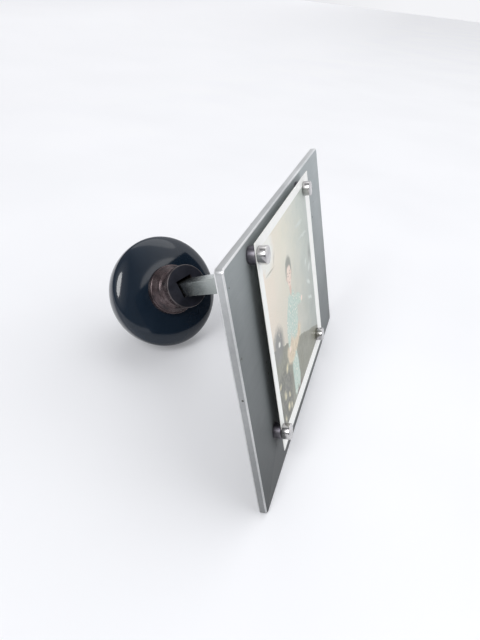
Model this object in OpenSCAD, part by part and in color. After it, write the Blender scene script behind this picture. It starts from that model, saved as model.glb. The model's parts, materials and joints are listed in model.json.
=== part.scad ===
// A photo holder for a desk. A steel plate leans back on its lower edge and is
// held up behind by a round door knob on a square spindle. Four pairs of small
// magnets hold a square print clear of the plate's front.
//
// Millimetres. +X runs across the plate, +Y away from the viewer, +Z up.
// The origin is on the desk, in the middle of the space that the object takes.

/* [Plate] */
// Width of the plate
plate_w = 152.4; // [130:0.1:180]
// Height of the plate, along its slope
plate_h = 101.6; // [98:0.1:130]
// Thickness of the plate
plate_t = 3.175; // [2:0.005:5]
// Radius of the plate's four corners
plate_corner_r = 1.8; // [0.5:0.1:5]
// How far the plate leans back from upright, in degrees
plate_lean = 15; // [10:0.5:18]

/* [Print] */
// Side of the square print
print_w = 87.5; // [85:0.1:90]
// Thickness of the photo paper
print_t = 0.25; // [0.15:0.01:0.5]
// Gap from the plate's left edge to the print
print_left = 21.3; // [18:0.1:21.4]
// Gap from the plate's lower edge to the print
print_bottom = 13.5; // [11:0.1:18]

/* [Magnets] */
// Diameter of every magnet
magnet_d = 6.35; // [4:0.05:8]
// Thickness of every magnet
magnet_t = 3.175; // [1.5:0.005:4]
// Air left between faces that touch
touch_gap = 0.03; // [0.02:0.01:0.1]

/* [Knob] */
// Diameter of the knob
knob_d = 57.2; // [50:0.1:60]
// Depth of the domed side, from the widest ring
knob_dome = 29; // [24:0.1:32]
// Depth of the shallow side that faces the plate
knob_back = 8.2; // [6:0.1:10]
// Middle of the knob, from the plate's left edge
knob_across = 92.5; // [85:0.1:100]
// Middle of the knob, behind the foot of the plate's front face
knob_behind = 83.2; // [78:0.1:90]
// How far the spindle swings towards the plate's left edge, in degrees
knob_turn = 37.7; // [34:0.1:40]
// How far the knob's axis rises towards the plate, in degrees
knob_rise = 33.5; // [31:0.1:36]

/* [Shank] */
// Radius of the flange that sits on the knob
flange_r = 12.6; // [11:0.1:14]
// Radius of the collar at the shank's open end
collar_r = 10.5; // [9.6:0.1:12]
// Smallest radius of the hollow between ring and collar
cove_r = 8.7; // [8.2:0.1:9]
// Open end of the shank, from the knob's middle
shank_end = 25.5; // [25:0.1:28]
// Radius of the tail set inside the knob
tail_r = 7.6; // [7.2:0.1:8]

/* [Spindle] */
// Width across the square spindle
spindle_w = 7.1; // [6.2:0.05:7.2]
// Width across the square socket in the shank
socket_w = 8.6; // [8.5:0.05:9]
// How far the spindle is rolled about its own axis, in degrees
spindle_roll = 14.5; // [0:0.5:45]
// How far the spindle droops in its loose socket, in degrees
spindle_droop = 2.6; // [0:0.1:2.7]
// Diameter of the set screw
screw_d = 4.1; // [3:0.1:4.5]
// Reach of the weld out over the plate
weld_reach = 7.6; // [6.5:0.1:9]

/* [Hidden] */
$fn = 96;

// Where each pair of magnets sits: across from the left edge, up from the lower edge
place_top_left = [24.2, 96.0];
place_top_right = [98.7, 95.8];
place_low_left = [22.8, 22.3];
place_low_right = [96.8, 22.0];

knob_r = knob_d / 2;
magnet_r = magnet_d / 2;

// Depths of each layer, measured out from the plate's front face
print_back = touch_gap + magnet_t + touch_gap;
print_face = print_back + print_t;
front_magnet_back = print_face + touch_gap;
front_magnet_face = front_magnet_back + magnet_t;

// The knob's lowest point and its rearmost point, on an ellipsoid of revolution
knob_drop = norm([knob_r * cos(knob_rise), knob_dome * sin(knob_rise)]);
knob_aft = cos(knob_rise) * cos(knob_turn);
knob_reach = norm([knob_r * sqrt(1 - knob_aft * knob_aft), knob_dome * knob_aft]);

// The front is the lower edge of the lowest front magnet, the rear is the knob
depth_front = (place_low_right[1] - magnet_r) * sin(plate_lean)
            - front_magnet_face * cos(plate_lean);
depth_rear = knob_behind + knob_reach;
depth_middle = (depth_front + depth_rear) / 2;

knob_middle = [knob_across - plate_w / 2, knob_behind - depth_middle, knob_drop];
plate_foot = [-plate_w / 2, -depth_middle, plate_t * sin(plate_lean)];

// The spindle crosses the knob's axis inside the shank
spindle_cross = 12;
spindle_inner = 12;
spindle_rise = knob_rise - spindle_droop;
spindle_way = way(spindle_rise);
spindle_start = knob_middle + spindle_cross * way(knob_rise);
plate_out = [0, cos(plate_lean), -sin(plate_lean)];
spindle_reach = (plate_t - (spindle_start - plate_foot) * plate_out)
              / (spindle_way * plate_out);
beyond = 15;

// The pocket in the knob, the tail in it, and the cast metal between them
pocket_r = 10.4;
pocket_floor = -10;
tail_end = -8.5;
socket_floor = -4;
cast_gap = 0.02;
groove_depth = 1;
groove_low = -5.5;
groove_high = 0.5;

// Heights along the shank, from the knob's middle
flange_top = 10.5;
flange_round = 0.7;
ring_r = 10.1;
ring_low = 13.6;
cove_low = 15.8;
cove_high = 23.2;
collar_round = 0.5;

screw_height = 19.5;
screw_outer = 8.3;
screw_inner = spindle_w / 2 + 0.15;
slot_w = 0.8;
slot_depth = 1.0;

weld_rise = 4.2;
weld_throat = 4.9;

// The way from the knob towards the plate, at a given rise above level
function way(rise) = [
    -sin(knob_turn) * cos(rise),
    -cos(knob_turn) * cos(rise),
    sin(rise)
];

// The height of the knob's shallow side at a radius r
function back_height(r) = knob_back * sqrt(1 - pow(r / knob_r, 2));

// A hollow between the ring and the collar, as points from one to the other
function cove_outline(from, to, steps) = [
    for (i = [0:steps])
        let (a = 180 * i / steps, mouth = i < steps / 2 ? ring_r - 0.2 : collar_r)
            [mouth - (mouth - cove_r) * sin(a), from + (to - from) * (1 - cos(a)) / 2]
];

// Places children in the plate's own frame: across, behind the front face, up the slope
module on_plate() {
    translate(plate_foot) rotate([-plate_lean, 0, 0]) children();
}

// Places children on the knob's axis, +Z towards the plate
module on_knob() {
    translate(knob_middle) rotate([90 - knob_rise, 0, -knob_turn]) children();
}

// Everything in front of the plate's back face
module ahead_of_back_face() {
    on_plate() translate([-plate_w, plate_t - 2 * plate_h, -plate_h])
        cube([3 * plate_w, 2 * plate_h, 3 * plate_h]);
}

module rounded_outline(w, h, r) {
    translate([r, 0]) square([w - 2 * r, h]);
    translate([0, r]) square([w, h - 2 * r]);
    for (x = [r, w - r], y = [r, h - r]) translate([x, y]) circle(r);
}

module plate() {
    color([0.62, 0.64, 0.66])
        on_plate() translate([0, plate_t, 0]) rotate([90, 0, 0])
            linear_extrude(plate_t) rounded_outline(plate_w, plate_h, plate_corner_r);
}

// The square bar, grown by a margin on each side
module spindle_bar(margin) {
    side = spindle_w + 2 * margin;
    on_knob() translate([0, 0, spindle_cross]) rotate([spindle_droop, 0, 0])
        rotate([0, 0, spindle_roll]) translate([-side / 2, -side / 2, -spindle_inner])
            cube([side, side, spindle_inner + spindle_reach + beyond]);
}

module spindle() {
    color([0.52, 0.56, 0.54])
        difference() {
            spindle_bar(0);
            ahead_of_back_face();
        }
}

// The fillet of weld that joins the spindle to the plate's back
module weld_bead() {
    color([0.45, 0.45, 0.46])
        difference() {
            hull() {
                translate(spindle_start + spindle_reach * spindle_way)
                    rotate([-90 - plate_lean, 0, 0]) cylinder(h = 0.6, r = weld_reach, $fn = 32);
                translate(spindle_start + (spindle_reach - weld_rise) * spindle_way)
                    rotate([90 - spindle_rise, 0, -knob_turn])
                        cylinder(h = 0.4, r = weld_throat, $fn = 32);
            }
            spindle_bar(cast_gap);
            ahead_of_back_face();
        }
}

// The glossy black head, with the pocket that takes the shank's tail
module knob_head() {
    rings = 24;
    color([0.08, 0.10, 0.13])
        on_knob() difference() {
            rotate_extrude() polygon([
                for (i = [-rings:rings])
                    let (a = 90 * i / rings)
                        [knob_r * cos(a), (i > 0 ? knob_back : knob_dome) * sin(a)]
            ]);
            translate([0, 0, pocket_floor]) cylinder(h = knob_back - pocket_floor, r = pocket_r);
        }
}

// The tail's outline, with the groove that keys it in the cast metal
module tail_outline(grow, top) {
    polygon([
        [0, tail_end - grow], [tail_r + grow, tail_end - grow], [tail_r + grow, groove_low],
        [tail_r - groove_depth + grow, groove_low + groove_depth],
        [tail_r - groove_depth + grow, groove_high - groove_depth],
        [tail_r + grow, groove_high], [tail_r + grow, top], [0, top]
    ]);
}

// The part of the shank that stands out of the knob, from the flange to the collar
module shank_outline() {
    seat_steps = 4;
    polygon(concat(
        [[0, back_height(pocket_r)]],
        [
            for (i = [0:seat_steps])
                let (r = pocket_r + (flange_r - pocket_r) * i / seat_steps)
                    [r, back_height(r) + 2 * cast_gap]
        ],
        [[flange_r, flange_top - flange_round]],
        [[flange_r - flange_round, flange_top]],
        [[ring_r + 0.5, ring_low], [ring_r, ring_low + 1], [ring_r, cove_low - 0.6]],
        cove_outline(cove_low, cove_high, 12),
        [[collar_r, shank_end - collar_round], [collar_r - collar_round, shank_end]],
        [[0, shank_end]]
    ));
}

// The iron shank: tail, flange, ring, cove and collar, with a square socket
module knob_shank() {
    color([0.36, 0.30, 0.29])
        on_knob() difference() {
            union() {
                rotate_extrude() tail_outline(0, back_height(pocket_r) + cast_gap);
                rotate_extrude() shank_outline();
            }
            rotate([0, 0, spindle_roll])
                translate([-socket_w / 2, -socket_w / 2, socket_floor])
                    cube([socket_w, socket_w, shank_end - socket_floor + 1]);
            rotate([0, 0, spindle_roll]) translate([0, 0, screw_height])
                rotate([0, 90, 0]) cylinder(h = collar_r + 1, r = screw_d / 2 + 0.05);
        }
}

// Soft metal cast round the tail, which locks the shank in the knob
module cast_anchor() {
    color([0.42, 0.43, 0.45])
        on_knob() difference() {
            translate([0, 0, pocket_floor + cast_gap])
                cylinder(h = back_height(pocket_r) - 1 - pocket_floor, r = pocket_r - cast_gap);
            rotate_extrude() tail_outline(cast_gap, shank_end);
        }
}

// The slotted screw that pinches the spindle in its socket
module set_screw() {
    color([0.30, 0.27, 0.26])
        on_knob() rotate([0, 0, spindle_roll]) translate([0, 0, screw_height])
            rotate([0, 90, 0]) difference() {
                union() {
                    translate([0, 0, screw_inner + 1])
                        cylinder(h = screw_outer - screw_inner - 1, r = screw_d / 2);
                    translate([0, 0, screw_inner])
                        cylinder(h = 1.5, r = screw_d / 2 - 0.6);
                }
                translate([-slot_w / 2, -screw_d, screw_outer - slot_depth])
                    cube([slot_w, 2 * screw_d, slot_depth + 1]);
            }
}

module print() {
    color([0.86, 0.86, 0.82])
        on_plate() translate([print_left, -print_face, print_bottom])
            cube([print_w, print_t, print_w]);
}

// One magnet at a place on the plate, with its front at a depth
module magnet(place, front) {
    color([0.78, 0.79, 0.80])
        on_plate() translate([place[0], -front, place[1]])
            rotate([-90, 0, 0]) cylinder(h = magnet_t, r = magnet_r);
}

module back_magnet(place) {
    magnet(place, magnet_t + touch_gap);
}

module front_magnet(place) {
    magnet(place, front_magnet_face);
}

module back_magnet_top_left() back_magnet(place_top_left);
module back_magnet_top_right() back_magnet(place_top_right);
module back_magnet_low_left() back_magnet(place_low_left);
module back_magnet_low_right() back_magnet(place_low_right);
module front_magnet_top_left() front_magnet(place_top_left);
module front_magnet_top_right() front_magnet(place_top_right);
module front_magnet_low_left() front_magnet(place_low_left);
module front_magnet_low_right() front_magnet(place_low_right);

plate();
spindle();
weld_bead();
knob_head();
knob_shank();
cast_anchor();
set_screw();
print();
back_magnet_top_left();
back_magnet_top_right();
back_magnet_low_left();
back_magnet_low_right();
front_magnet_top_left();
front_magnet_top_right();
front_magnet_low_left();
front_magnet_low_right();
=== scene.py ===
# %% [markdown]
# # A photo holder propped on a door knob
# A steel plate leans back on its lower edge. Behind it an old glossy door knob, on its iron shank
# and square spindle, props it up. Small magnets pinch a square print a few millimetres off the
# plate. This lesson builds the visible surfaces piece by piece around a model whose sizes are
# already settled.

# %% Load the frame
import json
from math import cos, hypot, pi, radians, sin, sqrt, tau
import bmesh
import bpy
from mathutils import Matrix, Vector, noise


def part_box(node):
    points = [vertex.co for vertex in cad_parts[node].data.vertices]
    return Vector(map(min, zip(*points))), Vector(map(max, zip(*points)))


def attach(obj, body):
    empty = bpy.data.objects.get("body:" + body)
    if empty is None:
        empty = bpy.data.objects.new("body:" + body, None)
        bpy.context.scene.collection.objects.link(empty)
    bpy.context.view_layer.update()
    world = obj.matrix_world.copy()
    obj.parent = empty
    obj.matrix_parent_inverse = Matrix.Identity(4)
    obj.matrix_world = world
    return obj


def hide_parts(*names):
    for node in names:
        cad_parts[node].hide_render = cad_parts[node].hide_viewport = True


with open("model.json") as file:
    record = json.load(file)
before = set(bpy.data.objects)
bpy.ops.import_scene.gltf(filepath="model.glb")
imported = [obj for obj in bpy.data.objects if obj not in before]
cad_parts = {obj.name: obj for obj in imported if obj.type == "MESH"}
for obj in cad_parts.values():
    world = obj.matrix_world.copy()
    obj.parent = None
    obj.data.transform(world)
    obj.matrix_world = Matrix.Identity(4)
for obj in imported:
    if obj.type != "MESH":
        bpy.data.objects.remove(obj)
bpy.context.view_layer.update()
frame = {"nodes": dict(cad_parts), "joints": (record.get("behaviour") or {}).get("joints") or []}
nodes = frame["nodes"]
MM = 0.001

# %% [markdown]
# ## The camera
# The holder was seen from the left and well above it, through a phone's wide lens, so the near
# edge of the plate is much longer than the far one. A camera needs a place, a point to look at, a
# lens and a little roll. The lens matters most: a longer one would flatten the plate.

# %% Camera
EYE = Vector((-0.2082, -0.0674, 0.1712))
AIM = Vector((0.0504, -0.0054, 0.0))
ROLL = radians(6.75)
LENS = 30.15


def add_camera(eye, aim, roll, lens):
    data = bpy.data.cameras.new("camera")
    data.lens = lens
    data.clip_start = 5 * MM
    camera = bpy.data.objects.new("camera", data)
    bpy.context.scene.collection.objects.link(camera)
    turn = (aim - eye).to_track_quat("-Z", "Y").to_matrix().to_4x4()
    camera.matrix_world = Matrix.Translation(eye) @ turn @ Matrix.Rotation(roll, 4, "Z")
    bpy.context.scene.camera = camera
    return camera


camera = add_camera(EYE, AIM, ROLL, LENS)
print("camera:", [round(v, 3) for v in camera.matrix_world.translation], "lens", camera.data.lens)

# %% [markdown]
# ## Node helpers
# Every finish here is a small node tree. Writing a tree out link by link hides the idea behind it,
# so a short helper adds one node, sets its inputs and links sockets in one call. Others do sums,
# make a colour ramp and mix two colours. A second cell holds the noises and the shader's inputs.

# %% Node helpers
def new_material(name):
    material = bpy.data.materials.new(name)
    material.use_nodes = True
    shader = material.node_tree.nodes["Principled BSDF"]
    return material, material.node_tree, shader


def feed(tree, socket, value):
    if isinstance(value, bpy.types.NodeSocket):
        tree.links.new(value, socket)
    else:
        socket.default_value = value


def add(tree, kind, inputs=None, **settings):
    node = tree.nodes.new("ShaderNode" + kind)
    for name, value in settings.items():
        setattr(node, name, value)
    for name, value in (inputs or {}).items():
        feed(tree, node.inputs[name], value)
    return node


def math(tree, operation, a, b):
    return add(tree, "Math", {0: a, 1: b}, operation=operation).outputs[0]


def plus(tree, a, b):
    return math(tree, "ADD", a, b)


def times(tree, a, b):
    return math(tree, "MULTIPLY", a, b)


def ramp(tree, value, *stops):
    node = add(tree, "ValToRGB", {"Fac": value})
    band = node.color_ramp.elements
    while len(band) < len(stops):
        band.new(0.5)
    for element, (place, colour) in zip(band, stops):
        element.position = place
        element.color = (*colour, 1)
    return node.outputs["Color"]


def grey(value):
    return (value, value, value)


def mix(tree, factor, a, b, blend="MIX"):
    node = add(tree, "Mix", data_type="RGBA", blend_type=blend)
    feed(tree, node.inputs[0], factor)
    for socket, value in ((node.inputs[6], a), (node.inputs[7], b)):
        feed(tree, socket, (*value, 1) if isinstance(value, tuple) else value)
    return node.outputs[2]


print("node helpers ready")

# %% Texture and shader helpers
def noise_at(tree, where, scale, detail=4.0, roughness=0.55):
    inputs = {"Vector": where, "Scale": scale, "Detail": detail, "Roughness": roughness}
    return add(tree, "TexNoise", inputs).outputs["Fac"]


def placed(tree, scale=(1, 1, 1), shift=(0, 0, 0)):
    coordinates = add(tree, "TexCoord").outputs["Object"]
    inputs = {"Vector": coordinates, "Scale": scale, "Location": shift}
    return add(tree, "Mapping", inputs).outputs["Vector"]


def colour_by(tree, shader, colour):
    tree.links.new(colour, shader.inputs["Base Color"])


def roughen_by(tree, shader, value):
    tree.links.new(value, shader.inputs["Roughness"])


def bump(tree, shader, height, strength, distance):
    node = add(tree, "Bump", {"Height": height, "Strength": strength, "Distance": distance})
    tree.links.new(node.outputs["Normal"], shader.inputs["Normal"])


print("texture and shader helpers ready")

# %% [markdown]
# ## Floor and light
# The holder stands on a softly glowing white table by a window, with pale surroundings. A wide
# floor takes the shadows, and its glow, a little stronger towards the back, keeps them faint. The
# window is an area light, because only a bright patch of a real size gives the tall narrow glint
# on the knob. A panel overhead and a dim one in front light the plate's top edge and the print,
# and draw the dark line where the print stands off the plate. The sky colour of the world fills
# the rest.

# %% Floor
FLOOR_R = 6.0


def add_floor(radius):
    mesh = bpy.data.meshes.new("floor")
    bm = bmesh.new()
    bmesh.ops.create_circle(bm, cap_ends=True, segments=96, radius=radius)
    bm.to_mesh(mesh)
    bm.free()
    floor = bpy.data.objects.new("floor", mesh)
    bpy.context.scene.collection.objects.link(floor)
    return floor


def floor_finish():
    material, tree, shader = new_material("white_table")
    cloud = noise_at(tree, placed(tree), 6.0, 2.0)
    white = ramp(tree, cloud, (0.35, (0.69, 0.695, 0.715)), (0.65, (0.72, 0.725, 0.745)))
    colour_by(tree, shader, white)
    shader.inputs["Roughness"].default_value = 0.32
    shader.inputs["Specular IOR Level"].default_value = 0.35
    back = add(tree, "SeparateXYZ", {"Vector": placed(tree)}).outputs["Y"]
    glow = ramp(tree, back, (0.05, (0.53, 0.534, 0.55)), (1.0, (0.965, 0.97, 1.0)))
    tree.links.new(glow, shader.inputs["Emission Color"])
    shader.inputs["Emission Strength"].default_value = 0.34
    return material


floor = add_floor(FLOOR_R)
floor.data.materials.append(floor_finish())
print("floor:", len(floor.data.polygons), "face")

# %% Sky
def way(azimuth, elevation):
    turn = radians(azimuth)
    level = cos(radians(elevation))
    return Vector((sin(turn) * level, cos(turn) * level, sin(radians(elevation))))


def towards(tree, direction, side, *stops):
    inputs = {0: direction, 1: side}
    lined_up = add(tree, "VectorMath", inputs, operation="DOT_PRODUCT").outputs["Value"]
    return ramp(tree, lined_up, *[(start, grey(level)) for start, level in stops])


def sky(low, high, bright, dim, glow):
    world = bpy.data.worlds.new("pale_room")
    bpy.context.scene.world = world
    world.use_nodes = True
    tree = world.node_tree
    direction = add(tree, "TexCoord").outputs["Generated"]
    height = add(tree, "SeparateXYZ", {"Vector": direction}).outputs["Z"]
    room = ramp(tree, height, (0.40, grey(low)), (0.85, grey(high)))
    bright_side = towards(tree, direction, way(122, 14), (0.05, 1.0), (0.80, bright))
    dim_side = towards(tree, direction, way(-108, 32), (0.45, 1.0), (0.85, dim))
    window_glow = towards(tree, direction, way(-72, 40), (0.80, 0.0), (0.97, glow))
    room = mix(tree, 1.0, room, bright_side, "MULTIPLY")
    room = mix(tree, 1.0, room, dim_side, "MULTIPLY")
    room = mix(tree, 1.0, room, window_glow, "ADD")
    tinted = mix(tree, 1.0, room, (0.97, 0.975, 1.0), "MULTIPLY")
    tree.links.new(tinted, tree.nodes["Background"].inputs["Color"])
    return world


world = sky(low=0.26, high=0.32, bright=3.6, dim=0.65, glow=0.6)
bpy.context.scene.view_settings.view_transform = "Standard"
print("sky:", world.name)

# %% Lights
knob_low, knob_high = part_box("knob_head")
knob_centre = (knob_low + knob_high) / 2


def add_window(name, side, distance, width, height, power):
    data = bpy.data.lights.new(name, "AREA")
    data.shape = "ELLIPSE"
    data.size = width
    data.size_y = height
    data.energy = power
    light = bpy.data.objects.new(name, data)
    bpy.context.scene.collection.objects.link(light)
    light.location = knob_centre + side * distance
    aim = knob_centre - light.location
    light.rotation_euler = aim.to_track_quat("-Z", "Y").to_euler()
    return light


window = add_window("window", way(-77, 41), 3.0, width=1.1, height=1.8, power=45.0)
ceiling = add_window("ceiling_panel", way(87, 65), 2.6, width=3.4, height=1.3, power=10.0)
front_fill = add_window("front_fill", way(188, 36), 2.8, width=2.6, height=1.6, power=13.0)
print("lights:", window.name, ceiling.name, front_fill.name)

# %% [markdown]
# ## Working on the slope
# The plate leans, so its pieces are easier to build in the plate's own axes: across, back and up
# the slope. The joints of the model already hold two of these directions. Measuring a node's
# points along them gives its true width, thickness and height, whatever the lean.

# %% The plate's own axes
def axes(x, y, z, origin=Vector()):
    turn = Matrix((x, y, z)).transposed().to_4x4()
    return Matrix.Translation(origin) @ turn


def span(node, place):
    inverse = place.inverted()
    points = [inverse @ v.co for v in nodes[node].data.vertices]
    low = Vector([min(p[i] for p in points) for i in range(3)])
    high = Vector([max(p[i] for p in points) for i in range(3)])
    return low, high


joints = {joint["name"]: joint for joint in frame["joints"]}
up = Vector(joints["print_slide"]["axis"])
out = Vector(joints["front_magnet_top_left_lift"]["axis"])
across = up.cross(out)
slope = axes(across, -out, up)
corner, far_corner = span("plate", slope)
slope = axes(across, -out, up, slope @ corner)
plate_size = far_corner - corner
print("plate, mm:", [round(v / MM, 2) for v in plate_size])

# %% [markdown]
# ## Finishing a mesh
# Each new piece is shaped in a bmesh near the origin, carried to its place with a transform on its
# vertices, and then turned into an object that rides on a body of the model. One helper does the
# last steps for all of them. A second cell makes the shapes that repeat: a block, a rounded edge,
# an outline spun round an axis and an arc of points.

# %% Make a piece
def piece(name, bm, body, material, stands_for, smooth=True):
    bmesh.ops.recalc_face_normals(bm, faces=bm.faces)
    mesh = bpy.data.meshes.new(name)
    bm.to_mesh(mesh)
    bm.free()
    for face in mesh.polygons:
        face.use_smooth = smooth
    made = bpy.data.objects.new(name, mesh)
    bpy.context.scene.collection.objects.link(made)
    for one in material if isinstance(material, list) else [material]:
        mesh.materials.append(one)
    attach(made, body)
    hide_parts(*stands_for)
    return made


print("piece helper ready")

# %% Shape helpers
SAME_POINT = 0.001 * MM


def carry(bm, place):
    bmesh.ops.transform(bm, matrix=place, verts=bm.verts)


def block(width, depth, height, middle):
    bm = bmesh.new()
    bmesh.ops.create_cube(bm, size=1)
    bmesh.ops.scale(bm, vec=(width, depth, height), verts=bm.verts)
    bmesh.ops.translate(bm, vec=middle, verts=bm.verts)
    return bm


def soften(bm, edges, offset, segments):
    bmesh.ops.bevel(bm, geom=edges, offset=offset, segments=segments, profile=0.5,
                    affect="EDGES", material=-1)


def spin_round(bm, section, steps):
    bmesh.ops.spin(bm, geom=section, cent=(0, 0, 0), axis=(0, 0, 1), angle=tau, steps=steps,
                   use_merge=True)
    bmesh.ops.remove_doubles(bm, verts=bm.verts, dist=SAME_POINT)


def lathe(outline, steps):
    bm = bmesh.new()
    corners = [bm.verts.new((r, 0, h)) for r, h in outline]
    edges = [bm.edges.new(pair) for pair in zip(corners, corners[1:])]
    spin_round(bm, corners + edges, steps)
    return bm


def arc(centre, radius, start, end, steps):
    turns = [radians(start + (end - start) * i / steps) for i in range(steps + 1)]
    return [(centre[0] + radius * cos(a), centre[1] + radius * sin(a)) for a in turns]


print("shape helpers ready")

# %% [markdown]
# ## Raw steel
# Hot-rolled plate that was only wiped clean keeps a matt grey skin: cloudy from the mill, streaked
# along the rolling direction, with a few dark pits. Two stretched noises make the streaks, a slow
# one the clouds, and small cells the pits. Roughness follows the fine streaks, so reflections
# break up where the surface does. The tone fades darker towards one lower corner: painted shade,
# where the plate's foot sees the shadowed table. With more metal in it, the same recipe serves for
# filed edges, for rims with a painted highlight and for a back darkened to painted shade.

# %% Raw steel finish
PIT_SIZE = 0.11
PIT_COLOUR = (0.10, 0.095, 0.09)
FOOT_SHADE_SCALE = (2.4, 1, 6.5)
FOOT_SHADE_SHIFT = (0.18, 0, 0)


# Painted shade: the tone darkens towards the plate's lower corner, where the foot sees the
# shadowed table.
def painted_foot_shade(tree, foot):
    parts = add(tree, "SeparateXYZ", {"Vector": placed(tree, FOOT_SHADE_SCALE, FOOT_SHADE_SHIFT)})
    climb = plus(tree, parts.outputs["X"], parts.outputs["Z"])
    halfway = 0.35 + 0.65 * foot
    return ramp(tree, climb, (0.0, grey(foot)), (0.5, grey(halfway)), (1.0, grey(1)))


def steel_finish(name, dark, light, rough, metal, pits=0.35, foot=1.0):
    material, tree, shader = new_material(name)
    clouds = noise_at(tree, placed(tree), 28.0, 5.0)
    streaks = noise_at(tree, placed(tree, (60, 900, 900)), 1.0, 5.0, 0.65)
    fine = noise_at(tree, placed(tree, (220, 4200, 4200)), 1.0, 3.0, 0.6)
    cells = add(tree, "TexVoronoi", {"Vector": placed(tree), "Scale": 190.0, "Randomness": 1.0})
    speck = math(tree, "LESS_THAN", cells.outputs["Distance"], PIT_SIZE)
    rare = math(tree, "GREATER_THAN", noise_at(tree, placed(tree), 75.0, 1.0), 1.0 - pits)
    pit = times(tree, speck, rare)
    wave = plus(tree, times(tree, clouds, 0.75), times(tree, streaks, 0.25))
    tone = ramp(tree, wave, (0.36, dark), (0.62, light))
    # painted shade towards the lower corner, as strong as foot asks
    tone = mix(tree, 1.0, tone, painted_foot_shade(tree, foot), "MULTIPLY")
    colour_by(tree, shader, mix(tree, pit, tone, PIT_COLOUR))
    shader.inputs["Metallic"].default_value = metal
    gloss = plus(tree, rough - 0.06, times(tree, fine, 0.12))
    roughen_by(tree, shader, plus(tree, gloss, times(tree, pit, 0.3)))
    height = math(tree, "SUBTRACT", plus(tree, times(tree, fine, 0.5), streaks), pit)
    bump(tree, shader, height, 0.08, 0.05 * MM)
    return material


# foot sets the painted shade at the lower corner: strongest on the face, lighter on edges and
# rims.
plate_steel = steel_finish("raw_steel", (0.37, 0.41, 0.42), (0.49, 0.535, 0.545),
                           rough=0.60, metal=0.0, foot=0.10)
edge_steel = steel_finish("filed_edge", (0.50, 0.515, 0.525), (0.70, 0.715, 0.725),
                          rough=0.40, metal=0.5, pits=0.45, foot=0.34)
# The narrow bevels: partly rubbed bare steel, partly a painted highlight in their near-white
# colour.
rim_wear_and_highlight = steel_finish("rubbed_rim_and_highlight", (0.55, 0.57, 0.58), (0.93, 0.935, 0.94),
                         rough=0.30, metal=0.5, pits=0.45, foot=0.6)
# The back: the same scale darkened to painted shade, for the plate's shadowed back that the knob
# mirrors.
shaded_back_steel = steel_finish("scaled_back_painted_shade", (0.040, 0.044, 0.052), (0.085, 0.09, 0.10),
                          rough=0.38, metal=0.5)
plate_steels = [plate_steel, edge_steel, shaded_back_steel, rim_wear_and_highlight]
print("steel:", [steel.name for steel in plate_steels])

# %% [markdown]
# ## The plate
# A slab is a cube with its corners rounded, but a real one has had its sharp edges knocked off
# with a file. That narrow bevel matters more than the slab: it catches the light as a bright line
# all round. So the cube's four short edges are bevelled wide and the rims narrow. The sides take
# the filed steel, the narrow bevels a brighter steel, partly rubbed wear and partly a painted
# highlight, and the back the scale darkened to painted shade.

# %% Plate
CORNER_R = 1.8 * MM
FILED = 0.55 * MM
FACE, SIDE, BACK, RIM = range(4)


def depth_of(edge):
    return abs(edge.verts[0].co.y - edge.verts[1].co.y)


def which_steel(backward):
    if backward < -0.99:
        return FACE
    if backward > 0.99:
        return BACK
    return SIDE if abs(backward) < 0.05 else RIM


def slab(width, depth, height, corner_radius, filed):
    bm = block(width, depth, height, (width / 2, depth / 2, height / 2))
    soften(bm, [e for e in bm.edges if depth_of(e) > depth / 2], corner_radius, 6)
    soften(bm, [e for e in bm.edges if depth_of(e) < depth / 2], filed, 3)
    for face in bm.faces:
        face.material_index = which_steel(face.normal.y)
    return bm


plate_mesh = slab(*plate_size, CORNER_R, FILED)
carry(plate_mesh, slope)
plate = piece("steel_plate", plate_mesh, "stand", plate_steels, ["plate"])
plate.data.set_sharp_from_angle(angle=radians(20))
print("plate:", len(plate.data.polygons), "faces")

# %% [markdown]
# ## The knob's own axes
# The knob, shank and spindle share a slanting axis that is no joint of the model, so it is found
# by turning the world's axes: up towards the plate by the knob's rise, then round by its turn. The
# head's points, measured in those axes, give its middle and radius.

# %% The knob's axes
KNOB_TURN = radians(37.7)
KNOB_RISE = radians(33.5)
SPINDLE_DROOP = radians(2.6)
SPINDLE_ROLL = radians(14.5)
DOME = 29 * MM

risen = Matrix.Rotation(pi / 2 - KNOB_RISE, 4, "X")
rolled = Matrix.Rotation(SPINDLE_ROLL, 4, "Z")
knob_turned = Matrix.Rotation(-KNOB_TURN, 4, "Z") @ risen
low, high = span("knob_head", knob_turned)
knob_r = (high.x - low.x) / 2
middle = Vector(((low.x + high.x) / 2, (low.y + high.y) / 2, low.z + DOME))
on_knob = knob_turned @ Matrix.Translation(middle)
print("knob radius, mm:", round(knob_r / MM, 2))

# %% [markdown]
# ## The knob
# Old knobs like this were moulded and glazed or polished until they looked wet. The shape is a
# deep dome with a shallow back, so half an outline spun round the axis makes it. It could be a
# squashed sphere, but the two sides have different depths. The finish is nearly black with a blue
# cast and smooth enough to mirror the window, with a faint haze and a few specks of dust.

# %% Knob finish
def glaze_finish():
    material, tree, shader = new_material("black_glaze")
    haze = noise_at(tree, placed(tree), 60.0, 5.0)
    dust = noise_at(tree, placed(tree), 900.0, 2.0)
    black = ramp(tree, haze, (0.3, (0.006, 0.0135, 0.025)), (0.75, (0.010, 0.0195, 0.034)))
    colour_by(tree, shader, black)
    specks = math(tree, "GREATER_THAN", dust, 0.68)
    gloss = plus(tree, 0.075, times(tree, specks, 0.12))
    roughen_by(tree, shader, plus(tree, gloss, times(tree, haze, 0.05)))
    shader.inputs["IOR"].default_value = 1.52
    bump(tree, shader, noise_at(tree, placed(tree), 42.0, 2.0), 0.08, 0.15 * MM)
    return material


glaze = glaze_finish()
print("glaze:", glaze.name)

# %% Knob head
KNOB_BACK = 8.2 * MM
POCKET_R = 10.4 * MM
POCKET_FLOOR = -10 * MM


def back_height(radius):
    return KNOB_BACK * sqrt(1 - (radius / knob_r) ** 2)


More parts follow.
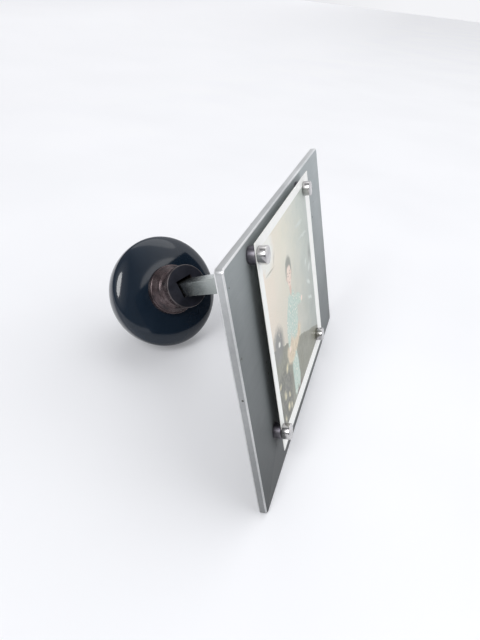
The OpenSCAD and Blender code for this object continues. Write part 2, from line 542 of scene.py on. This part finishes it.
def knob_outline(rings):
    turns = [pi / 2 * i / rings for i in range(rings)]
    dome = [(knob_r * sin(a), -DOME * cos(a)) for a in turns]
    edge = [knob_r * cos(a) for a in turns]
    back = [(r, back_height(r)) for r in edge if r > POCKET_R]
    pocket = [(POCKET_R, back_height(POCKET_R)), (POCKET_R, POCKET_FLOOR), (0, POCKET_FLOOR)]
    return dome + back + pocket


head_mesh = lathe(knob_outline(rings=40), steps=128)
carry(head_mesh, on_knob)
head = piece("door_knob", head_mesh, "stand", glaze, ["knob_head"])
head.data.set_sharp_from_angle(angle=radians(40))
print("knob head:", len(head.data.polygons), "faces")

# %% [markdown]
# ## Cutting holes
# The shank has a square socket and a round screw hole, and no lathe outline can hold those. A
# boolean modifier subtracts simple solids, and its result is read back into a bmesh. The cutters
# are thrown away.

# %% Subtract solids
def as_object(bm):
    mesh = bpy.data.meshes.new("cutting")
    bmesh.ops.recalc_face_normals(bm, faces=bm.faces)
    bm.to_mesh(mesh)
    bm.free()
    made = bpy.data.objects.new("cutting", mesh)
    bpy.context.scene.collection.objects.link(made)
    return made


def subtract(bm, cutters):
    target = as_object(bm)
    tools = [as_object(cutter) for cutter in cutters]
    for tool in tools:
        modifier = target.modifiers.new("cut", "BOOLEAN")
        modifier.operation = "DIFFERENCE"
        modifier.solver = "EXACT"
        modifier.object = tool
    graph = bpy.context.evaluated_depsgraph_get()
    result = bmesh.new()
    result.from_mesh(target.evaluated_get(graph).to_mesh())
    for used in [target, *tools]:
        bpy.data.objects.remove(used)
    return result


def box(width, depth, height, base):
    return block(width, depth, height, (0, 0, base + height / 2))


print("cutting helpers ready")

# %% [markdown]
# ## Rusted iron
# The shank is cast iron that has browned with age. Rust is never one colour: a fine noise breaks
# the brown, a slow one lets darker scale through, and both roughen the skin. Where hands and tools
# rub, on the collar's rim, the iron is bare and shiny, so the rim takes a second, cleaner finish.
# The flat end, which sees no wear, takes a third and darker one.

# %% Iron finishes
def rust_finish(name, scale_colour, rust_colour, dust_colour, metal, rough):
    material, tree, shader = new_material(name)
    slow = noise_at(tree, placed(tree), 170.0, 6.0, 0.6)
    quick = noise_at(tree, placed(tree), 900.0, 4.0, 0.7)
    tone = ramp(tree, slow, (0.38, scale_colour), (0.52, rust_colour), (0.66, dust_colour))
    darker = mix(tree, 1.0, tone, grey(0.45), "MULTIPLY")
    colour_by(tree, shader, mix(tree, times(tree, quick, 0.55), tone, darker))
    shader.inputs["Metallic"].default_value = metal
    roughen_by(tree, shader, plus(tree, rough, times(tree, quick, 0.25)))
    bump(tree, shader, plus(tree, slow, times(tree, quick, 0.5)), 0.35, 0.12 * MM)
    return material


rust = rust_finish("rusty_iron", (0.036, 0.030, 0.034), (0.088, 0.063, 0.066),
                   (0.150, 0.118, 0.122), metal=0.6, rough=0.13)
bare_iron = rust_finish("bare_iron", (0.07, 0.062, 0.066), (0.11, 0.098, 0.10),
                        (0.16, 0.145, 0.15), metal=0.5, rough=0.30)
dark_iron = rust_finish("dark_iron", (0.018, 0.020, 0.030), (0.028, 0.030, 0.044),
                        (0.042, 0.041, 0.054), metal=0.4, rough=0.36)
shank_irons = [rust, bare_iron, dark_iron]
print("iron finishes:", [iron.name for iron in shank_irons])

# %% [markdown]
# ## The shank
# From the knob outwards the shank is a flange, a sloping shoulder, a small ring, a hollow cove and
# a collar. All of it is one outline on the lathe, with a fine round on each rim, because a sharp
# rim would catch no light.

# %% Shank outline
FLANGE_R = 12.6 * MM
FLANGE_TOP = 10.5 * MM
RING_R = 10.1 * MM
RING_LOW = 13.6 * MM
COVE_LOW = 15.8 * MM
COVE_HIGH = 23.2 * MM
COVE_R = 8.7 * MM
COLLAR_R = 10.5 * MM
SHANK_END = 25.5 * MM
ROUND = 0.45 * MM
SEAT_GAP = 0.05 * MM
TAIL_END = -8.5 * MM
TAIL_R = 7.6 * MM


def cove(steps):
    points = []
    for i in range(steps + 1):
        turn = pi * i / steps
        mouth = RING_R - 0.25 * MM if i < steps / 2 else COLLAR_R
        height = COVE_LOW + (COVE_HIGH - COVE_LOW) * (1 - cos(turn)) / 2
        points.append((mouth - (mouth - COVE_R) * sin(turn), height))
    return points


def shank_outline():
    seat = back_height(POCKET_R) + SEAT_GAP
    foot = [(0, TAIL_END), (TAIL_R, TAIL_END), (TAIL_R, seat), (POCKET_R, seat)]
    rim = [(FLANGE_R, back_height(FLANGE_R) + SEAT_GAP)]
    flange = arc((FLANGE_R - 2 * ROUND, FLANGE_TOP - 2 * ROUND), 2 * ROUND, 0, 80, 6)
    ring_middle = (RING_R - ROUND, (RING_LOW + COVE_LOW) / 2 + 0.2 * MM)
    ring = arc(ring_middle, 1.7 * ROUND, -70, 70, 6)
    collar = arc((COLLAR_R - ROUND, SHANK_END - ROUND), ROUND, 0, 90, 5)
    return foot + rim + flange + ring + cove(14) + collar + [(0, SHANK_END)]


print("shank outline:", len(shank_outline()), "points")

# %% Shank
SOCKET = 8.6 * MM
SCREW_HEIGHT = 19.5 * MM
SCREW_R = 2.05 * MM
HOLE_START = 3 * MM
RUSTY, RUBBED, HIDDEN = range(3)
across_shank = Matrix.Translation((0, 0, SCREW_HEIGHT)) @ Matrix.Rotation(pi / 2, 4, "Y")


def screw_hole():
    bm = bmesh.new()
    bmesh.ops.create_cone(bm, cap_ends=True, segments=32, radius1=SCREW_R, radius2=SCREW_R,
                          depth=COLLAR_R)
    bmesh.ops.translate(bm, vec=(0, 0, COLLAR_R / 2 + HOLE_START), verts=bm.verts)
    carry(bm, rolled @ across_shank)
    return bm


def square_socket():
    bm = box(SOCKET, SOCKET, SHANK_END, -4 * MM)
    bmesh.ops.scale(bm, vec=(1, 1, 1.2), verts=bm.verts)
    carry(bm, rolled)
    return bm


def which_iron(place):
    reach = hypot(*place.xy)
    if place.z > SHANK_END - 0.8 * ROUND and reach > COLLAR_R - 1.2 * ROUND:
        return RUBBED
    return HIDDEN if place.z > SHANK_END - 0.1 * ROUND else RUSTY


shank_mesh = subtract(lathe(shank_outline(), 96), [square_socket(), screw_hole()])
for face in shank_mesh.faces:
    face.material_index = which_iron(face.calc_center_median())
carry(shank_mesh, on_knob)
shank = piece("iron_shank", shank_mesh, "stand", shank_irons, ["knob_shank"])
shank.data.set_sharp_from_angle(angle=radians(35))
print("shank:", len(shank.data.polygons), "faces")

# %% [markdown]
# ## The set screw and the cast anchor
# A small slotted screw in the cove pinches the spindle. The soft metal cast round the shank's tail
# is locked inside the knob, where nobody sees it, so the model's own solid stays and only gets a
# finish.

# %% Set screw and anchor
SCREW_LOW = 3.7 * MM
SCREW_HIGH = 8.4 * MM
SCREW_PLAY = 0.04 * MM
SLOT_WIDTH = 0.8 * MM


def slotted_screw(radius, low_end, high_end):
    point = radius - 0.6 * MM
    foot = [(0, low_end), (point, low_end), (point, low_end + MM), (radius, low_end + 1.6 * MM)]
    top = [(radius, high_end - 0.3 * MM), (radius - 0.3 * MM, high_end), (0, high_end)]
    slot = box(SLOT_WIDTH, 3 * radius, 2 * MM, high_end - MM)
    return subtract(lathe(foot + top, 32), [slot])


screw_mesh = slotted_screw(SCREW_R - SCREW_PLAY, SCREW_LOW, SCREW_HIGH)
carry(screw_mesh, across_shank)
carry(screw_mesh, on_knob @ rolled)
screw = piece("set_screw_slotted", screw_mesh, "stand", bare_iron,
              ["set_screw"], smooth=False)
cast_metal = steel_finish("cast_metal", (0.22, 0.23, 0.25), (0.34, 0.35, 0.37),
                          rough=0.6, metal=0.7)
nodes["cast_anchor"].data.materials.clear()
nodes["cast_anchor"].data.materials.append(cast_metal)
print("set screw:", len(screw.data.polygons), "faces")

# %% [markdown]
# ## The spindle
# A square bar with its long edges eased by the drawing die. It sits loose in the socket, so it
# droops a little from the knob's axis, and it ends on the plate's back. A bisecting plane trims it
# flush there, at whatever slant the two meet.

# %% Spindle
CROSSING = 12 * MM
BAR = 7.1 * MM
EASED = 0.55 * MM
SPARE = 15 * MM
drooped = Matrix.Rotation(SPINDLE_DROOP, 4, "X")
on_spindle = on_knob @ Matrix.Translation((0, 0, CROSSING)) @ drooped
back_face = slope @ Vector((0, plate_size.y, 0))
bar_start = on_spindle.translation
bar_heading = on_spindle.to_3x3() @ Vector((0, 0, 1))
bar_length = (back_face - bar_start).dot(out) / bar_heading.dot(out)


def square_bar(length):
    bm = box(BAR, BAR, CROSSING + length + SPARE, -CROSSING)
    long_edges = [e for e in bm.edges if abs(e.verts[0].co.z - e.verts[1].co.z) > MM]
    soften(bm, long_edges, EASED, 3)
    return bm


def trim(bm, point, normal):
    everything = bm.verts[:] + bm.edges[:] + bm.faces[:]
    cut = bmesh.ops.bisect_plane(bm, geom=everything, plane_co=point, plane_no=normal,
                                 clear_outer=True)
    rim = [e for e in cut["geom_cut"] if isinstance(e, bmesh.types.BMEdge)]
    bmesh.ops.holes_fill(bm, edges=rim, sides=0)


bar_mesh = square_bar(bar_length)
carry(bar_mesh, on_spindle @ rolled)
trim(bar_mesh, back_face, out)
bar_steel = steel_finish("spindle_steel", (0.36, 0.395, 0.38), (0.54, 0.575, 0.555),
                         rough=0.26, metal=1.0)
bar = piece("square_spindle", bar_mesh, "stand", bar_steel, ["spindle"])
bar.data.set_sharp_from_angle(angle=radians(50))
print("spindle reach, mm:", round(bar_length / MM, 1))

# %% [markdown]
# ## The weld
# A bead of weld runs round the foot of the spindle, laid down in overlapping pools that freeze as
# ripples. A ring spun from a small circle gives the bead. Moving its points in and out with their
# angle makes the ripples, and an ellipse along the slant fits it to the bar.

# %% Weld bead
WELD_R = 5.6 * MM
BEAD = 2.0 * MM
BEAD_SIDES = 14
POOLS = 17


def rippled(point):
    turn = Vector(point.xy).angle_signed(Vector((1, 0)), 0)
    core = Vector((cos(turn), sin(turn), 0)) * WELD_R
    ripple = 0.80 + 0.22 * abs(sin(POOLS * turn / 2)) + 0.10 * noise.noise(point * 400)
    return core + (point - core) * ripple


def weld_ring():
    bm = bmesh.new()
    turns = [tau * i / BEAD_SIDES for i in range(BEAD_SIDES)]
    section = [bm.verts.new((WELD_R + BEAD * cos(a), 0, BEAD * sin(a))) for a in turns]
    edges = [bm.edges.new((section[i], section[i - 1])) for i in range(BEAD_SIDES)]
    spin_round(bm, section + edges, 8 * POOLS)
    for vert in bm.verts:
        vert.co = rippled(vert.co)
    return bm


weld_mesh = weld_ring()
bar_foot = bar_start + bar_heading * bar_length
lean_across = (bar_heading - bar_heading.dot(out) * out).normalized()
weld_place = axes(lean_across, -out.cross(lean_across), -out, bar_foot)
bmesh.ops.scale(weld_mesh, vec=(1.18, 1.0, 0.8), verts=weld_mesh.verts)
carry(weld_mesh, weld_place)
weld_metal = steel_finish("weld_metal", (0.12, 0.115, 0.13), (0.30, 0.28, 0.27),
                          rough=0.36, metal=0.8, pits=0.6)
weld = piece("weld_ring", weld_mesh, "stand", weld_metal, ["weld_bead"])
print("weld:", len(weld.data.polygons), "faces")

# %% [markdown]
# ## The magnets
# Eight nickel-plated discs. Plating is thin and mirror-bright, and it rounds the edges a little,
# so the outline has a small round on both rims. The four against the plate are rougher, and
# their colour is darkened with painted shade for the gap they sit in.
# Each disc rides on its own body, because each can slide or lift off.

# %% Nickel
def nickel_finish(name, dark, light, rough):
    material, tree, shader = new_material(name)
    smear = noise_at(tree, placed(tree), 330.0, 3.0)
    colour_by(tree, shader, ramp(tree, smear, (0.35, dark), (0.7, light)))
    shader.inputs["Metallic"].default_value = 1.0
    roughen_by(tree, shader, plus(tree, rough, times(tree, smear, 0.16)))
    bump(tree, shader, noise_at(tree, placed(tree), 1400.0, 2.0), 0.05, 0.02 * MM)
    return material


bright_nickel = nickel_finish("nickel_plate", (0.40, 0.39, 0.40), (0.66, 0.65, 0.64), 0.11)
# The back magnets: rougher, and darkened with painted shade for the gap between plate and print.
dull_shaded_nickel = nickel_finish("dull_shaded_nickel", (0.10, 0.092, 0.115), (0.22, 0.21, 0.23), 0.34)
print("nickel:", bright_nickel.name, dull_shaded_nickel.name)

# %% Magnets
DISC_ROUND = 0.3 * MM


def disc(radius, thickness, rounding):
    low_rim = arc((radius - rounding, rounding), rounding, -90, 0, 4)
    high_rim = arc((radius - rounding, thickness - rounding), rounding, 0, 90, 4)
    return lathe([(0, 0), *low_rim, *high_rim, (0, thickness)], 48)


for node in sorted(n for n in nodes if "magnet" in n):
    low, high = span(node, slope)
    radius = (high.x - low.x) / 2
    magnet_mesh = disc(radius, high.y - low.y, DISC_ROUND)
    foot = Matrix.Translation((low.x + radius, high.y, low.z + radius))
    carry(magnet_mesh, foot @ Matrix.Rotation(pi / 2, 4, "X"))
    carry(magnet_mesh, slope)
    nickel = bright_nickel if node.startswith("front") else dull_shaded_nickel
    magnet = piece(node + "_disc", magnet_mesh, node, nickel, [node])
    magnet.data.set_sharp_from_angle(angle=radians(60))
print("magnets: 8 discs of radius", round(radius / MM, 2), "mm")

# %% [markdown]
# ## Painting with nodes
# The print shows a snapshot: somebody seated by a wall, with shrubs in front. A picture can be
# painted with nodes as with brushes. One brush mark is an ellipse, made by squeezing a round
# gradient. It has a middle, a size, a turn and a softness, and each mark is mixed over the ones
# below it. A little noise pushes the marks' edges about, so none of them looks like an ellipse.

# %% Brushes
def tint(red, green, blue):
    return tuple((value / 255) ** 2.2 for value in (red, green, blue))


def mark(tree, where, middle, size, turn, soft):
    inputs = {"Vector": where, "Location": (*middle, 0), "Scale": (*size, 1)}
    inputs["Rotation"] = (0, 0, radians(turn))
    spot = add(tree, "Mapping", inputs, vector_type="TEXTURE").outputs["Vector"]
    ball = add(tree, "TexGradient", {"Vector": spot}, gradient_type="SPHERICAL").outputs["Fac"]
    return add(tree, "MapRange", {"Value": ball, "From Max": soft}).outputs["Result"]


def dab(tree, where, picture, colour, *marks):
    for middle, size, turn, soft in marks:
        picture = mix(tree, mark(tree, where, middle, size, turn, soft), picture, colour)
    return picture


def vectors(tree, operation, inputs):
    return add(tree, "VectorMath", inputs, operation=operation).outputs[0]


def wobble(tree, where, scale, amount):
    push = add(tree, "TexNoise", {"Vector": where, "Scale": scale, "Detail": 3.0})
    centred = vectors(tree, "SUBTRACT", {0: push.outputs["Color"], 1: (0.5, 0.5, 0.5)})
    scaled = vectors(tree, "SCALE", {0: centred, "Scale": amount})
    return vectors(tree, "ADD", {0: where, 1: scaled})


def inside(tree, where, low, high):
    parts = add(tree, "SeparateXYZ", {"Vector": where})
    mask = 1.0
    for axis, start, end in (("X", low[0], high[0]), ("Y", low[1], high[1])):
        mask = times(tree, mask, math(tree, "GREATER_THAN", parts.outputs[axis], start))
        mask = times(tree, mask, math(tree, "LESS_THAN", parts.outputs[axis], end))
    return mask


print("brushes ready")

# %% [markdown]
# ## The snapshot
# Places are in millimetres from the print's lower left corner. The wall comes first, warm on the
# left and cool on the right, then the ground, the seated sitter, and last the shrubs in front. The
# sitter's head follows a drawing book's proportions: the eyes halfway down, the nose and mouth
# below them in even steps, all calm and plain.

# %% Backdrop of the snapshot
WALL_WIDTH = 110.0
WALL_HEIGHT = 88.0
GROUND_SLANT = 0.42
GROUND_EDGE = 45.5


def paint_wall(tree, where, parts):
    grain = noise_at(tree, where, 0.12, 5.0, 0.6)
    left_right = plus(tree, parts.outputs["X"], times(tree, grain, 30.0))
    wall = ramp(tree, math(tree, "DIVIDE", left_right, WALL_WIDTH),
                (0.15, tint(248, 234, 216)), (0.42, tint(234, 230, 212)),
                (0.75, tint(190, 199, 190)), (1.0, tint(166, 176, 174)))
    low_high = math(tree, "DIVIDE", parts.outputs["Y"], WALL_HEIGHT)
    shade = ramp(tree, low_high, (0.15, grey(0.66)), (0.80, grey(0.97)))
    wall = mix(tree, 1.0, wall, shade, "MULTIPLY")
    wall = dab(tree, where, wall, tint(244, 245, 238), ((11, 79), (10, 9), 0, 0.35))
    wall = dab(tree, where, wall, tint(208, 216, 210),
               ((66, 65), (10, 0.9), -8, 0.7), ((67, 52), (3, 1.6), 15, 0.7),
               ((69, 41), (5, 1.3), -35, 0.7), ((69, 33), (6, 1.1), -28, 0.7),
               ((61, 72), (9, 1.2), -6, 0.7), ((73, 47), (3.5, 2), 40, 0.7))
    return dab(tree, where, wall, tint(118, 124, 122), ((76, 53), (4, 5), 0, 0.9))


def paint_backdrop(tree, where):
    parts = add(tree, "SeparateXYZ", {"Vector": where})
    wall = paint_wall(tree, where, parts)
    pebbles = noise_at(tree, where, 0.5, 6.0, 0.7)
    ground = ramp(tree, pebbles, (0.3, tint(98, 101, 86)), (0.7, tint(134, 134, 116)))
    edge = plus(tree, parts.outputs["Y"], times(tree, parts.outputs["X"], GROUND_SLANT))
    return mix(tree, math(tree, "LESS_THAN", edge, GROUND_EDGE), wall, ground)


def paint_shrubs(tree, where, under):
    cells = add(tree, "TexVoronoi", {"Vector": where, "Scale": 0.65, "Randomness": 1.0})
    leaves = ramp(tree, cells.outputs["Distance"],
                  (0.1, tint(112, 114, 98)), (0.75, tint(62, 64, 56)))
    picture = dab(tree, where, under, tint(112, 114, 112), ((11, 42), (9, 9), 10, 0.5))
    picture = dab(tree, where, picture, tint(232, 232, 226), ((12, 42), (2.0, 1.7), 0, 0.5))
    picture = dab(tree, where, picture, leaves, ((11, 17), (14, 15), 0, 0.25))
    blossoms = (((11, 19), (2.2, 2.6)), ((14, 11), (2.4, 3.2)), ((8, 10), (1.6, 2.0)),
                ((18, 9), (1.5, 2.4)), ((6, 26), (1.8, 1.4)), ((18, 27), (3.0, 2.2)),
                ((17, 15), (1.2, 1.8)))
    return dab(tree, where, picture, tint(226, 216, 178), *[(*spot, 20, 0.8) for spot in blossoms])


print("backdrop and shrubs ready")

# %% Sitter in the snapshot
SKIN = tint(244, 222, 206)
SKIN_SHADE = tint(218, 188, 170)
HAIR = tint(128, 130, 120)
BROWN = tint(86, 62, 52)
LIPS = tint(160, 92, 84)
FACE_MIDDLE = 36.5


def paint_dress(tree, where, under):
    blooms = add(tree, "TexVoronoi", {"Vector": where, "Scale": 0.55, "Randomness": 1.0})
    cloth = ramp(tree, blooms.outputs["Distance"], (0.18, tint(244, 240, 228)),
                 (0.36, tint(166, 196, 184)), (0.7, tint(196, 214, 202)))
    folds = noise_at(tree, where, 0.35, 4.0)
    tan = ramp(tree, folds, (0.35, tint(202, 180, 148)), (0.65, tint(228, 212, 182)))
    picture = dab(tree, where, under, cloth,
                  ((32.5, 19), (4.2, 14), 6, 0.25), ((28.5, 16), (3.6, 13), -3, 0.3))
    picture = dab(tree, where, picture, BROWN,
                  ((36, 6.8), (4.2, 1.8), 8, 0.5), ((30, 6.4), (4.0, 1.7), 0, 0.5))
    picture = dab(tree, where, picture, tan,
                  ((34, 30), (14, 5.6), 6, 0.3), ((27, 29), (8.5, 5.4), -22, 0.3))
    return dab(tree, where, picture, cloth,
               ((36, 42), (9.0, 12.5), 8, 0.2), ((27.5, 40), (3.2, 10), -16, 0.3),
               ((45, 44.5), (9.5, 3.2), -24, 0.3))


def paint_side(tree, where, under, side):
    ear = FACE_MIDDLE + 3.95 * side
    eye = FACE_MIDDLE + 1.6 * side
    cheek = FACE_MIDDLE + 2.1 * side
    picture = dab(tree, where, under, SKIN_SHADE, ((ear, 59.2), (0.6, 1.1), 0, 0.5))
    picture = dab(tree, where, picture, BROWN,
                  ((eye, 60.7), (1.0, 0.26), 3 * side, 0.7), ((eye, 59.5), (0.75, 0.34), 0, 0.5))
    return dab(tree, where, picture, SKIN_SHADE, ((cheek, 57.4), (1.1, 0.9), 0, 1.0))


def paint_head(tree, where, under):
    picture = dab(tree, where, under, HAIR, ((36.6, 61.6), (5.3, 6.6), 0, 0.3))
    picture = dab(tree, where, picture, SKIN_SHADE, ((36.4, 53.4), (1.9, 3.6), 0, 0.4))
    picture = dab(tree, where, picture, SKIN, ((FACE_MIDDLE, 59.4), (3.9, 5.2), 0, 0.22))
    picture = dab(tree, where, picture, HAIR, ((36.8, 64.8), (4.5, 2.2), -6, 0.5))
    for side in (-1, 1):
        picture = paint_side(tree, where, picture, side)
    nose = ((FACE_MIDDLE, 57.6), (0.62, 0.42), 0, 0.7)
    mouth = ((FACE_MIDDLE, 56.3), (1.25, 0.3), 0, 0.6)
    picture = dab(tree, where, picture, SKIN_SHADE, nose)
    return dab(tree, where, picture, LIPS, mouth)


def paint_hands(tree, where, under):
    return dab(tree, where, under, SKIN,
               ((52.6, 41.0), (1.9, 1.5), -24, 0.4), ((25.6, 31.2), (1.7, 1.5), 0, 0.4))


print("sitter ready")

# %% [markdown]
# ## The print
# The print is a stiff card, white at its borders and back, with a satin face. It stays flat, so it
# can slide and its magnets can move along it without cutting in. A print handled for a while is
# never spotless: a slow wave in its shine, a small crease near one magnet and faded colours tell
# its age. The crease is bumped, and its darker line is painted shade in the fold.

# %% Print finish
PICTURE_LOW = (4.3, 6.0)
PICTURE_HIGH = (79.0, 83.9)
CREASE_SHADE = tint(150, 142, 124)


def paint_picture(tree, flat):
    brushed = wobble(tree, wobble(tree, flat, 0.22, 2.6), 1.1, 0.9)
    steady = wobble(tree, flat, 1.2, 0.25)
    picture = paint_dress(tree, brushed, paint_backdrop(tree, brushed))
    picture = paint_hands(tree, steady, paint_head(tree, steady, picture))
    picture = paint_shrubs(tree, brushed, picture)
    speckle = noise_at(tree, flat, 3.2, 3.0, 0.7)
    grain = ramp(tree, speckle, (0.3, grey(0.80)), (0.7, grey(1.12)))
    picture = mix(tree, 1.0, picture, grain, "MULTIPLY")
    return mix(tree, 0.08, picture, tint(246, 243, 230))


def snapshot_finish(side):
    material, tree, shader = new_material("photo_paper")
    uv = add(tree, "TexCoord").outputs["UV"]
    flat = vectors(tree, "SCALE", {0: uv, "Scale": side / MM})
    picture = paint_picture(tree, flat)
    fibre = noise_at(tree, flat, 0.3, 3.0)
    paper = ramp(tree, fibre, (0.35, tint(246, 247, 243)), (0.7, tint(252, 252, 249)))
    whole = mix(tree, inside(tree, flat, PICTURE_LOW, PICTURE_HIGH), paper, picture)
    long_fold = mark(tree, flat, (12.5, 71.8), (7.5, 0.5), -4, 0.8)
    short_fold = mark(tree, flat, (19.0, 74.4), (0.6, 3.6), -32, 0.8)
    crease = math(tree, "MAXIMUM", long_fold, short_fold)
    # The crease line is darkened: painted shade in the fold.
    colour_by(tree, shader, mix(tree, times(tree, crease, 0.7), whole, CREASE_SHADE))
    sheen = noise_at(tree, flat, 0.08, 2.0)
    roughen_by(tree, shader, ramp(tree, sheen, (0.3, grey(0.30)), (0.7, grey(0.42))))
    shader.inputs["Specular IOR Level"].default_value = 0.45
    bump(tree, shader, plus(tree, crease, times(tree, sheen, 0.6)), 0.5, 0.15 * MM)
    return material


def paper_finish():
    material, tree, shader = new_material("paper_back")
    fibre = noise_at(tree, placed(tree), 1500.0, 4.0, 0.7)
    white = ramp(tree, fibre, (0.3, tint(228, 228, 222)), (0.7, tint(242, 242, 237)))
    colour_by(tree, shader, white)
    shader.inputs["Roughness"].default_value = 0.7
    bump(tree, shader, fibre, 0.2, 0.02 * MM)
    return material


print("print finishes ready")

# %% Print
def card(side, thickness):
    bm = block(side, thickness, side, (side / 2, thickness / 2, side / 2))
    layer = bm.loops.layers.uv.new("print_map")
    for face in bm.faces:
        face.material_index = 0 if face.normal.y < -0.99 else 1
        for loop in face.loops:
            loop[layer].uv = (loop.vert.co.x / side, loop.vert.co.z / side)
    return bm


low, high = span("print", slope)
print_side = high.x - low.x
card_mesh = card(print_side, high.y - low.y)
carry(card_mesh, slope @ Matrix.Translation(low))
papers = [snapshot_finish(print_side), paper_finish()]
snapshot = piece("snapshot_print", card_mesh, "print", papers, ["print"])
snapshot.data.set_sharp_from_angle(angle=radians(40))
print("print, mm:", round(print_side / MM, 2), "and", len(papers[0].node_tree.nodes), "nodes")
